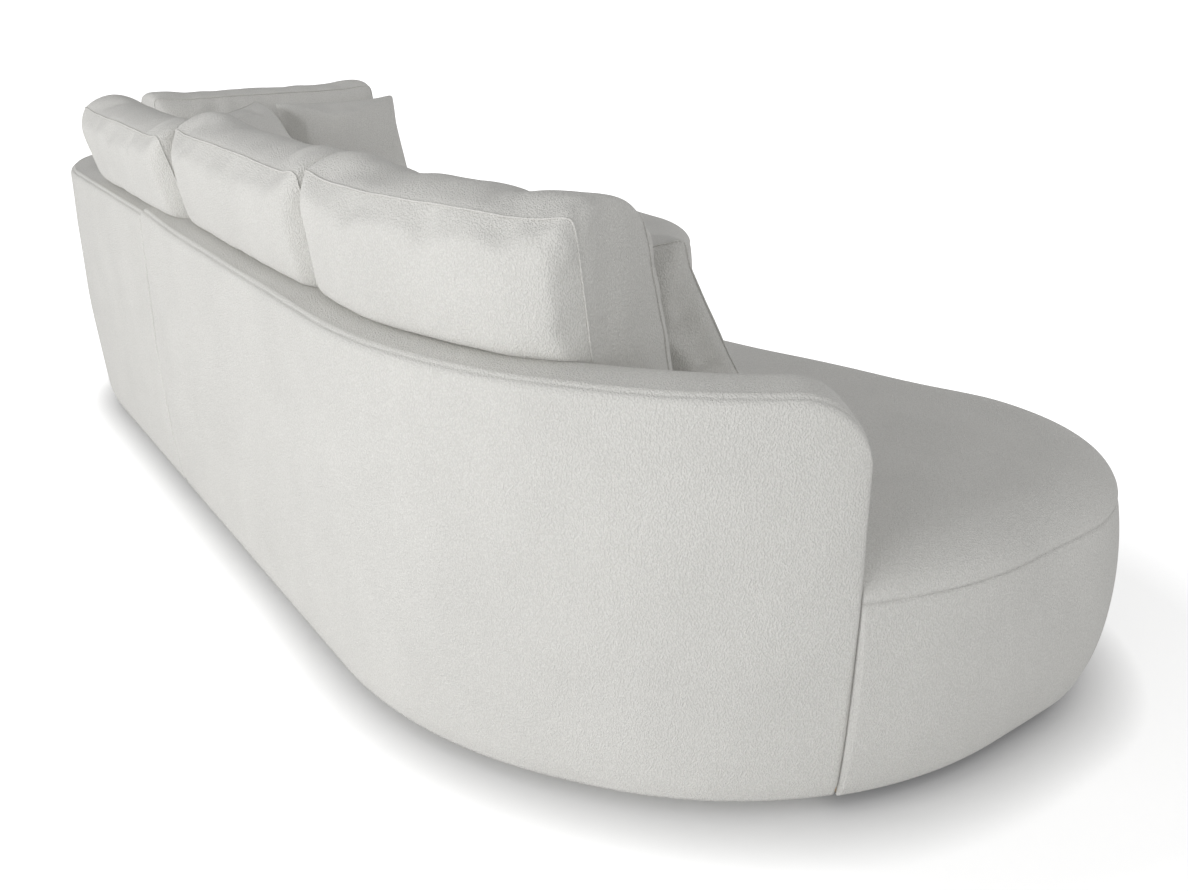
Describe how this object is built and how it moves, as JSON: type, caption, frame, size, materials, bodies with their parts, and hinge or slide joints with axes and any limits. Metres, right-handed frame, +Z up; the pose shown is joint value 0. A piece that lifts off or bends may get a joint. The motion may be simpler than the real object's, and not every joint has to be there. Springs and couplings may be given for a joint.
{
  "type": "corner sofa",
  "caption": "Curved corner sofa in pale textured fabric: a long seat and a rounded chaise with a low wrap-round back wall, loose back cushions and scatter cushions.",
  "frame": {"origin": "on the floor, under the middle of the sofa's box", "axes": "+X towards the chaise's back, -X towards the long module's open end, +Y towards the long module's back, +Z up"},
  "size_m": [2.92, 1.74, 0.8958],
  "materials": {
    "boucle": "off-white looped pile, matte",
    "dust_cloth": "black non-woven cloth",
    "foam": "cut foam, matte",
    "webbing": "woven elastic webbing",
    "plywood": "raw plywood",
    "foot_plastic": "black moulded plastic",
    "steel": "zinc plated"
  },
  "bodies": {
    "chaise_module": {"chaise_back_bottom_rail": "plywood", "chaise_back_cover": "boucle", "chaise_back_foam": "foam", "chaise_back_posts": "plywood", "chaise_back_top_rail": "plywood", "chaise_base_panel": "plywood", "chaise_dust_cover": "dust_cloth", "chaise_feet": "foot_plastic", "chaise_foot_screws": "steel", "chaise_seat_bearers": "plywood", "chaise_seat_cover": "boucle", "chaise_seat_foam": "foam", "chaise_seat_rails": "plywood", "chaise_skirt_padding": "foam", "chaise_webbing": "webbing", "connector_socket_screws": "steel", "connector_sockets": "steel"},
    "long_module": {"connector_tongue_screws": "steel", "connector_tongues": "steel", "long_back_bottom_rail": "plywood", "long_back_cover": "boucle", "long_back_foam": "foam", "long_back_posts": "plywood", "long_back_top_rail": "plywood", "long_base_panel": "plywood", "long_dust_cover": "dust_cloth", "long_feet": "foot_plastic", "long_foot_screws": "steel", "long_seat_bearers": "plywood", "long_seat_cover": "boucle", "long_seat_foam": "foam", "long_seat_rails": "plywood", "long_skirt_padding": "foam", "long_webbing": "webbing"},
    "near_back_cushion": {"near_back_cushion_cover": "boucle", "near_back_cushion_filling": "foam"},
    "middle_back_cushion": {"middle_back_cushion_cover": "boucle", "middle_back_cushion_filling": "foam"},
    "corner_back_cushion": {"corner_back_cushion_cover": "boucle", "corner_back_cushion_filling": "foam"},
    "chaise_back_cushion": {"chaise_back_cushion_cover": "boucle", "chaise_back_cushion_filling": "foam"},
    "chaise_scatter_cushion": {"chaise_scatter_cushion_cover": "boucle", "chaise_scatter_cushion_filling": "foam"},
    "corner_scatter_cushion": {"corner_scatter_cushion_cover": "boucle", "corner_scatter_cushion_filling": "foam"},
    "near_scatter_cushion": {"near_scatter_cushion_cover": "boucle", "near_scatter_cushion_filling": "foam"}
  },
  "joints": [
    {"name": "modules_pull_apart", "type": "slide", "parent": "chaise_module", "child": "long_module", "axis": [-1, 0, 0], "range_m": [0, 0.3]},
    {"name": "near_back_cushion_lift", "type": "slide", "parent": "long_module", "child": "near_back_cushion", "axis": [0, 0, 1], "range_m": [0, 0.25]},
    {"name": "middle_back_cushion_lift", "type": "slide", "parent": "long_module", "child": "middle_back_cushion", "axis": [0, 0, 1], "range_m": [0, 0.25]},
    {"name": "corner_back_cushion_lift", "type": "slide", "parent": "chaise_module", "child": "corner_back_cushion", "axis": [0, 0, 1], "range_m": [0, 0.25]},
    {"name": "chaise_back_cushion_lift", "type": "slide", "parent": "chaise_module", "child": "chaise_back_cushion", "axis": [0, 0, 1], "range_m": [0, 0.25]},
    {"name": "chaise_scatter_cushion_lift", "type": "slide", "parent": "chaise_module", "child": "chaise_scatter_cushion", "axis": [0, 0, 1], "range_m": [0, 0.25]},
    {"name": "corner_scatter_cushion_lift", "type": "slide", "parent": "chaise_scatter_cushion", "child": "corner_scatter_cushion", "axis": [0, 0, 1], "range_m": [0, 0.25]},
    {"name": "near_scatter_cushion_lift", "type": "slide", "parent": "near_back_cushion", "child": "near_scatter_cushion", "axis": [0, 0, 1], "range_m": [0, 0.25]}
  ]
}
